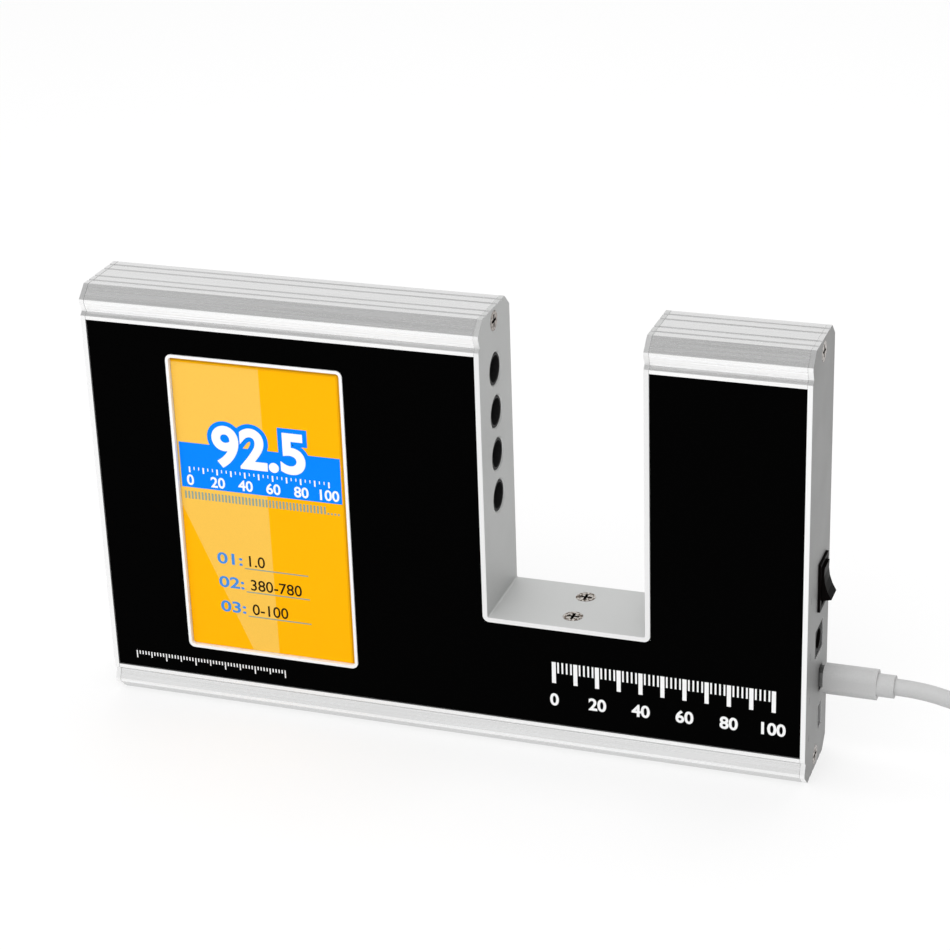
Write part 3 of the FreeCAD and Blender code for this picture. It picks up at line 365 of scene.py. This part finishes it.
def plain_plastic(name, dark, pale, roughness, depth=MOULD_DEPTH, scale=4000, metallic=0.0, **sockets):
    """Moulded plastic with the fine grain of its mould."""
    finish = Finish(name, metallic=metallic, **sockets)
    grain = finish.noise(scale, detail=2)
    finish.colour(finish.mix(grain, dark, pale))
    finish.roughness(finish.noise(80), roughness - 0.04, roughness + 0.04)
    finish.bump(grain, depth)
    return finish.material


def plain_metal(name, dark, pale, roughness):
    """Metal with fine scratches and small changes of tone."""
    finish = Finish(name, metallic=1.0)
    grain = finish.noise(3000)
    finish.colour(finish.mix(grain, dark, pale))
    finish.roughness(finish.noise(120), roughness - 0.06, roughness + 0.06)
    finish.bump(grain, SCRATCH_DEPTH)
    return finish.material


INK_CHANGE = 0.06


def ink(name, colour):
    """Colour of a print or of the picture, with a barely seen mottle."""
    dark = tuple(level * (1 - INK_CHANGE) for level in colour)
    return plain_plastic(name, dark, colour, 0.35, depth=INK_DEPTH, scale=6000, Specular_IOR_Level=0.05)


# Reach in metres of the painted shade in the cross of a screw head
SCREW_SHADE_REACH = 0.0012


def screw_steel():
    """Bright plated steel, with painted dark brown shade down in the cross of the head; screws that face up are
    painted far lighter than those that face sideways.
    """
    finish = Finish("screw_steel", metallic=1.0)
    grain = finish.noise(1500, detail=2)
    # Painted light: screws that face sideways get a shaded tone, those that face up a lit one
    shaded_side_screw = finish.mix(grain, (0.06, 0.045, 0.035), (0.34, 0.30, 0.27), 0.40, 0.56)
    lit_upward_screw = finish.mix(grain, (0.16, 0.12, 0.09), (0.78, 0.74, 0.69), 0.40, 0.56)
    bright = finish.mix(finish.facing("Z"), shaded_side_screw, lit_upward_screw, 0.4, 0.8)
    # Painted shade in the cross of the head, from ambient occlusion
    recess_shade = finish.nodes.new("ShaderNodeAmbientOcclusion")
    recess_shade.samples = 6
    recess_shade.only_local = True
    recess_shade.inputs["Distance"].default_value = SCREW_SHADE_REACH
    finish.colour(finish.mix(recess_shade.outputs["AO"], (0.014, 0.008, 0.005), bright, 0.35, 0.80))
    finish.roughness(finish.noise(700), 0.16, 0.30)
    finish.bump(grain, PLATING_DEPTH)
    return finish.material


def optic_glass():
    """Dark glass of the filters and lenses."""
    finish = Finish("optic_glass", roughness=0.05)
    clouds = finish.noise(400)
    finish.colour(finish.mix(clouds, (0.03, 0.02, 0.05), (0.06, 0.04, 0.09)))
    return finish.material


# What makes the material of each slot
MAKERS = {
    "case_aluminium": case_aluminium,
    "plate_aluminium": plate_aluminium,
    "panel_black": panel_black,
    "bezel_white": lambda: plain_plastic("bezel_white", grey(0.86), grey(0.92), 0.4),
    "screen": lambda: ink("screen", (1.0, 0.465, 0.0)),
    "display_metal": lambda: plain_metal("display_metal", grey(0.45), grey(0.55), 0.4),
    "screw_steel": screw_steel,
    "switch_black": lambda: plain_plastic("switch_black", (0.003, 0.002, 0.002), (0.006, 0.005, 0.005), 0.30,
                                          Specular_IOR_Level=0.008),
    "terminal_brass": lambda: plain_metal("terminal_brass", (0.60, 0.42, 0.17), (0.72, 0.52, 0.25), 0.35),
    # The socket metal is near black: painted shade for the dark inside the openings
    "socket_metal": lambda: plain_plastic("socket_metal", grey(0.015), grey(0.030), 0.38, metallic=0.15,
                                          Specular_IOR_Level=0.02),
    "tube_black": lambda: plain_plastic("tube_black", grey(0.010), grey(0.020), 0.5, Specular_IOR_Level=0.10),
    "optic_glass": optic_glass,
    "board_green": lambda: plain_plastic("board_green", (0.005, 0.07, 0.03), (0.01, 0.11, 0.05), 0.4),
    "cell_wrap": lambda: plain_plastic("cell_wrap", (0.02, 0.10, 0.30), (0.03, 0.13, 0.36), 0.35),
    "cradle_plastic": lambda: plain_plastic("cradle_plastic", grey(0.02), grey(0.03), 0.5),
    "bar_aluminium": lambda: plain_metal("bar_aluminium", grey(0.60), grey(0.70), 0.38),
    "wire_grey": lambda: plain_plastic("wire_grey", grey(0.25), grey(0.32), 0.45),
    "lead_grey": lambda: plain_plastic("lead_grey", grey(0.48), grey(0.54), 0.42, Specular_IOR_Level=0.3),
    "lead_metal": lambda: plain_metal("lead_metal", grey(0.20), grey(0.30), 0.3),
    "tie_black": lambda: plain_plastic("tie_black", grey(0.012), grey(0.02), 0.6),
}

# Width in millimetres of the small bevel on the edges of each node that has one
EDGES = {
    "case_profile": 0.15,
    "left_end_plate": 0.15,
    "right_end_plate": 0.15,
    "slot_liner": 0.18,
    "front_panel": 0.08,
    "rear_panel": 0.08,
    "display_bezel": 0.15,
    "end_plate_screws": 0.06,
    "liner_side_screws": 0.06,
    "liner_floor_screws": 0.06,
    "switch_housing": 0.15,
    "switch_rocker": 0.50,
    "power_jack": 0.10,
    "usb_socket": 0.05,
    "data_socket": 0.05,
    "lead_plug_shell": 0.10,
    "lead_tie": 0.15,
    "lead_far_shell": 0.10,
}
# Reach in millimetres within which corners are joined, and the angles from which edges are bevelled
WELD_REACH = 0.002
SHARP_ANGLE = math.radians(28)
ROCKER_ANGLE = math.radians(7)
FLAT_ANGLE = math.radians(0.5)


def soften_edges():
    """Small bevels that catch the light, as on the real pieces."""
    for name, width in EDGES.items():
        node = frame["nodes"][name]
        weld = node.modifiers.new("weld", "WELD")
        weld.merge_threshold = WELD_REACH * MM
        flat = node.modifiers.new("flat", "DECIMATE")
        flat.decimate_type = "DISSOLVE"
        flat.angle_limit = FLAT_ANGLE
        bevel = node.modifiers.new("bevel", "BEVEL")
        bevel.width = width * MM
        bevel.segments = 2
        bevel.limit_method = "ANGLE"
        bevel.angle_limit = ROCKER_ANGLE if name == "switch_rocker" else SHARP_ANGLE
        bevel.harden_normals = True


def dress_nodes():
    """Give every carried-over piece the finish of its slot."""
    made = {slot: maker() for slot, maker in MAKERS.items()}
    for part in frame["record"]["subparts"]:
        data = frame["nodes"][part["node"]].data
        data.materials.clear()
        data.materials.append(made[part["material_slot"]])
    liner = frame["nodes"]["slot_liner"].data.materials
    liner.clear()
    liner.append(liner_aluminium())
    return made


# Marks printed on the panel and the end plate, and the picture on the display

# Depth in millimetres to which marks reach into their face
MARK_ROOT = 0.01


class Marks:
    """Thin flat marks on one face, gathered into one piece."""

    def __init__(self, face, lift):
        """Face gives a place for two lengths along the face and a height above it."""
        self.face = face
        self.lift = lift
        self.mesh = bmesh.new()

    def shape(self, corners):
        """Straight-sided mark, with its corners counter-clockwise as seen."""
        rings = [[self.mesh.verts.new(self.face(u, v, height)) for u, v in corners]
                 for height in (-MARK_ROOT, self.lift)]
        self.mesh.faces.new(list(reversed(rings[0])))
        self.mesh.faces.new(rings[1])
        for index in range(len(corners)):
            after = (index + 1) % len(corners)
            self.mesh.faces.new((rings[0][index], rings[0][after], rings[1][after], rings[1][index]))

    def bar(self, left, low, right, high):
        self.shape([(left, low), (right, low), (right, high), (left, high)])

    def words(self, body, left, low, height, width=None, centre=False, swell=0.0):
        """Digits and signs in Blender's own letter, fitted to a height and, if given, a width."""
        plain = letter_mesh(body, 0.0)
        box = [[vertex.co[axis] for vertex in plain.vertices] for axis in range(2)]
        first = [min(values) for values in box]
        size = [max(values) - least for values, least in zip(box, first)]
        tall = height / size[1]
        wide = width / size[0] if width else tall
        if centre:
            left -= size[0] * wide / 2
        mesh = letter_mesh(body, swell / tall) if swell else plain
        deep = max(abs(vertex.co[2]) for vertex in mesh.vertices)
        known = len(self.mesh.verts)
        self.mesh.from_mesh(mesh)
        self.mesh.verts.ensure_lookup_table()
        for vertex in self.mesh.verts[known:]:
            x, y, z = vertex.co
            level = (z / deep + 1) / 2
            vertex.co = self.face(left + (x - first[0]) * wide, low + (y - first[1]) * tall,
                                  -MARK_ROOT + (self.lift + MARK_ROOT) * level)
        bpy.data.meshes.remove(mesh)
        if swell:
            bpy.data.meshes.remove(plain)

    def piece(self, name, finish, body="root"):
        """Close the marks into one piece, which rides a body."""
        data = bpy.data.meshes.new(name)
        bmesh.ops.recalc_face_normals(self.mesh, faces=self.mesh.faces)
        self.mesh.to_mesh(data)
        self.mesh.free()
        data.materials.append(finish)
        made = add(name, data)
        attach(made, body)


LETTER_DEPTH = 0.05


def letter_mesh(body, swell):
    """Mesh of a line of digits, grown all round by a swell."""
    data = bpy.data.curves.new("letters", "FONT")
    data.body = body
    data.extrude = LETTER_DEPTH
    data.bevel_depth = swell
    data.bevel_resolution = 3
    letters = add("letters", data)
    bpy.context.view_layer.update()
    shown = letters.evaluated_get(bpy.context.evaluated_depsgraph_get())
    mesh = bpy.data.meshes.new_from_object(shown)
    bpy.data.objects.remove(letters)
    bpy.data.curves.remove(data)
    return mesh


# Places of the front panel's face, the glass and the right end plate's face
PANEL_FACE = 0.5
GLASS_FACE = 1.6
END_FACE = 220.0


def on_panel(u, v, height):
    return at(u, PANEL_FACE - height, v)


def on_glass(u, v, height):
    return at(u, GLASS_FACE - height, v)


def on_end(u, v, height):
    return at(END_FACE + height, u, v)


# Heights of marks above their face, in millimetres: the lower ones lie under the higher ones
GROUND_LIFT = 0.01
MARK_LIFT = 0.02
SHADE_LIFT = 0.025
TOP_LIFT = 0.03

SCALE_START = 144.5
SCALE_STEP = 6.6
SCALE_TOP = 30.8
# Length and half width of the scale's marks, and the foot and height of its figures
SCALE_LONG = (7.0, 0.62)
SCALE_SHORT = (3.6, 0.26)
SCALE_FOOT = 16.4
SCALE_FIGURE = 3.8
RULER_START = 8.0
RULER_TOP = 15.4
RULER_HALF = 0.19
MARK_COUNT = 51


def make_panel_print():
    """White scale from 0 to 100 at the panel's lower right, and a small ruler at its lower left."""
    marks = Marks(on_panel, MARK_LIFT)
    for index in range(MARK_COUNT):
        x = SCALE_START + index * SCALE_STEP / 5
        long, half = SCALE_LONG if index % 5 == 0 else SCALE_SHORT
        marks.bar(x - half, SCALE_TOP - long, x + half, SCALE_TOP)
    for index in range(0, 11, 2):
        marks.words(str(10 * index), SCALE_START + index * SCALE_STEP, SCALE_FOOT, SCALE_FIGURE,
                    centre=True, swell=0.16)
    for index in range(MARK_COUNT):
        x = RULER_START + index
        long = (2.0 if index % 5 == 0 else 1.2) + (0.6 if index % 10 == 0 else 0)
        marks.bar(x - RULER_HALF, RULER_TOP - long, x + RULER_HALF, RULER_TOP)
    marks.piece("panel_print", ink("ink_white", grey(0.90)))


PICTURE_LEFT = 27.4
PICTURE_RIGHT = 81.2
PICTURE_LOW = 20.5
PICTURE_TOP = 115.3
# The large reading: its text, left end, foot, height and width
READING = ("92.5", 39.4, 81.8, 12.4, 28.8)
# Corners of the painted reflection, a paler band across the picture, and the left, foot, right and top of the
# blue band
PAINTED_REFLECTION = [(PICTURE_LEFT, 67.4), (47.6, PICTURE_LOW), (56.1, PICTURE_LOW), (55.4, PICTURE_TOP),
        (PICTURE_LEFT, PICTURE_TOP)]
BAND = (27.9, 73.4, 79.8, 88.1)
# The band's scale: its left end and top, the length and half width of its marks, and its figures' foot and height
TICK_START = 30.8
TICK_TOP = 80.2
TICK_LONG = (1.9, 0.24)
TICK_SHORT = (1.0, 0.14)
TICK_FOOT = 74.2
TICK_FIGURE = 3.3
# The row of fine bars below the band: its left end, spacing and foot, and a bar's width
BARS_START = 28.6
BARS_STEP = 1.1
BARS_FOOT = 69.6
BARS_WIDTH = 0.6
# Feet of the lines under the rows of figures, their two ends and their thickness
LINES = (48.0, 40.1, 31.8)
LINE_ENDS = (46.6, 67.3)
LINE_THICKNESS = 0.38
# Shade of the frame along the picture's top and right: its start and end from the edge, and its colour
SHADES = {
    "deep": (0.0, 1.0, (0.60, 0.28, 0.0)),
    "soft": (1.0, 1.45, (0.86, 0.40, 0.0)),
}
# Foot, label and figure of each row, the left ends of both, their height, and the width of a label
ROWS = [(49.0, "01:", "1.0"), (41.0, "02:", "380-780"), (32.7, "03:", "0-100")]
LABEL_LEFT = 37.8
LABEL_WIDTH = 8.0
FIGURE_LEFT = 48.2
ROW_HEIGHT = 3.6


def make_picture():
    """Orange ground with a painted reflection as a paler band, a blue band, a large reading, rows of figures and
    a shaded rim.
    """
    # Painted reflection of the glass: a paler band on the orange ground
    reflection_marks = Marks(on_glass, GROUND_LIFT)
    reflection_marks.shape(PAINTED_REFLECTION)
    reflection_marks.piece("picture_painted_reflection", ink("painted_reflection_ink", (0.925, 0.545, 0.082)))

    blue = Marks(on_glass, MARK_LIFT)
    blue.bar(*BAND)
    blue.words(*READING, swell=2.0)
    blue.piece("picture_band", ink("picture_blue", (0.0, 0.235, 1.0)))

    white = Marks(on_glass, TOP_LIFT)
    white.words(*READING, swell=0.55)
    for index in range(31):
        x = TICK_START + index * 1.5
        long, half = TICK_LONG if index % 3 == 0 else TICK_SHORT
        white.bar(x - half, TICK_TOP - long, x + half, TICK_TOP)
    for index in range(6):
        white.words(str(20 * index), TICK_START + index * 9.0, TICK_FOOT, TICK_FIGURE, centre=True, swell=0.10)
    white.piece("picture_white", ink("picture_white", grey(0.95)))

    faint = Marks(on_glass, MARK_LIFT)
    for index in range(46):
        x = BARS_START + index * BARS_STEP
        faint.bar(x, BARS_FOOT, x + BARS_WIDTH, 72.1 if index < 42 else 70.2)
    for low in LINES:
        faint.bar(LINE_ENDS[0], low, LINE_ENDS[1], low + LINE_THICKNESS)
    faint.piece("picture_faint", ink("picture_faint", (0.28, 0.36, 0.30)))

    for name, (start, end, colour) in SHADES.items():
        shade = Marks(on_glass, SHADE_LIFT)
        shade.bar(PICTURE_LEFT, PICTURE_TOP - end, PICTURE_RIGHT - start, PICTURE_TOP - start)
        shade.bar(PICTURE_RIGHT - end, PICTURE_LOW, PICTURE_RIGHT - start, PICTURE_TOP - end)
        shade.piece("picture_shade_" + name, ink("shade_" + name, colour))

    labels = Marks(on_glass, MARK_LIFT)
    figures = Marks(on_glass, MARK_LIFT)
    for low, label, figure in ROWS:
        labels.words(label, LABEL_LEFT, low, ROW_HEIGHT, width=LABEL_WIDTH, swell=0.12)
        figures.words(figure, FIGURE_LEFT, low, ROW_HEIGHT, swell=0.05)
    labels.piece("picture_labels", ink("picture_label", (0.06, 0.27, 0.72)))
    figures.piece("picture_figures", ink("picture_figure", (0.02, 0.012, 0.004)))


# Heights of the switch and the sockets on the end plate, and the place and size of the numbers beside them
END_ROWS = (59.0, 41.3, 27.1, 14.6)
END_MIDDLE = 4.2
END_FIGURE = 2.2


def make_end_print():
    """Faint numbers beside the switch and the sockets."""
    marks = Marks(on_end, MARK_LIFT)
    for number, z in enumerate(END_ROWS, start=1):
        marks.words(str(number), END_MIDDLE, z - END_FIGURE / 2, END_FIGURE, centre=True)
    marks.piece("end_print", ink("ink_grey", grey(0.22)))


# The lead: its free stretch, then the turns of its hank, as one line

CORD_DIAMETER = 5.0
CORD_ROUTE = [
    (242.0, 19.0, 27.1),
    (249.0, 19.0, 27.1),
    (259.0, 19.3, 24.9),
    (269.5, 20.0, 21.3),
    (280.0, 21.1, 18.6),
    (290.5, 22.6, 17.5),
    (300.0, 22.6, 17.5),
    (310.0, 22.8, 17.4),
]
HANK_MIDDLE = (347.0, 7.8)
# An end's distance from the hank's middle, and the half length of the straight stretch in its tie
HANK_REACH = 26.5
HANK_TIE = 3.0
# For each layer, from the top: the radius of its turns, their distance from the middle line in the tie, and
# its height
LAYERS = [
    (15.3, 9.9, 17.4),
    (16.1, 10.7, 12.45),
    (16.9, 11.5, 7.5),
    (17.7, 12.3, 2.55),
]
# How much higher the line runs at the ends of the tie
TIE_LIFT = 1.3
LOBE_POINTS = 6
WAY_OUT = [
    (381.5, 26.1, 2.55),
    (389.0, 20.8, 2.8),
    (394.0, 19.8, 4.0),
]


def shoulder(layer):
    """How far an end turns beyond a half circle on one side, and the radius of the bend back into the tie."""
    radius, lane, _ = layer
    run = HANK_REACH - HANK_TIE
    back = (run ** 2 + lane ** 2 - radius ** 2) / (2 * (radius - lane))
    return math.asin(run / (radius + back)), back


def lobe(side, layer, after):
    """Points round one end of the hank: side is 1 at the right, from back to front, and -1 at the left."""
    radius, lane, height = layer
    radius_after, lane_after, height_after = after
    angle, back = shoulder(layer)
    angle_after, back_after = shoulder(after)
    step = (math.pi + angle + angle_after) / LOBE_POINTS
    points = [(HANK_TIE + back * math.tan(angle / 2), lane, height + TIE_LIFT)]
    for index in range(LOBE_POINTS):
        place = math.pi / 2 + angle - (index + 0.5) * step
        share = min(index / (LOBE_POINTS - 2), 1)
        reach = (radius + (radius_after - radius) * share) / math.cos(step / 2)
        points.append((HANK_REACH + reach * math.cos(place), reach * math.sin(place),
                       height + (height_after - height) * share))
    points.append((HANK_TIE + back_after * math.tan(angle_after / 2), -lane_after,
                   height_after + TIE_LIFT))
    return [(HANK_MIDDLE[0] + side * x, HANK_MIDDLE[1] + side * y, z) for x, y, z in points]


def hank_points():
    """One lane in each layer; the line goes down to the next layer round the left end."""
    points = lobe(-1, LAYERS[0], LAYERS[0])[-2:]
    for layer, below in zip(LAYERS, LAYERS[1:]):
        points += lobe(1, layer, layer) + lobe(-1, layer, below)
    return points + lobe(1, LAYERS[-1], LAYERS[-1])[:2] + WAY_OUT


def make_cord(finish):
    """The lead in one smooth sweep between its plugs and through its tie, in place of the frame's cord and hank.
    """
    points = CORD_ROUTE + hank_points()
    data = bpy.data.curves.new("lead", "CURVE")
    data.dimensions = "3D"
    data.bevel_depth = CORD_DIAMETER / 2 * MM
    data.bevel_resolution = 6
    data.resolution_u = 8
    data.use_fill_caps = True
    spline = data.splines.new("NURBS")
    spline.points.add(len(points) - 1)
    for point, place in zip(spline.points, points):
        point.co = (*at(*place), 1)
    spline.order_u = 3
    spline.use_endpoint_u = True
    data.materials.append(finish)
    lead = add("lead", data)
    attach(lead, "lead")
    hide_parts("lead_cord", "lead_hank")


scene.view_settings.view_transform = "Standard"
make_camera()
make_world()
make_floor()
make_lamps()
finishes = dress_nodes()
make_cord(finishes["lead_grey"])
soften_edges()
make_panel_print()
make_picture()
make_end_print()
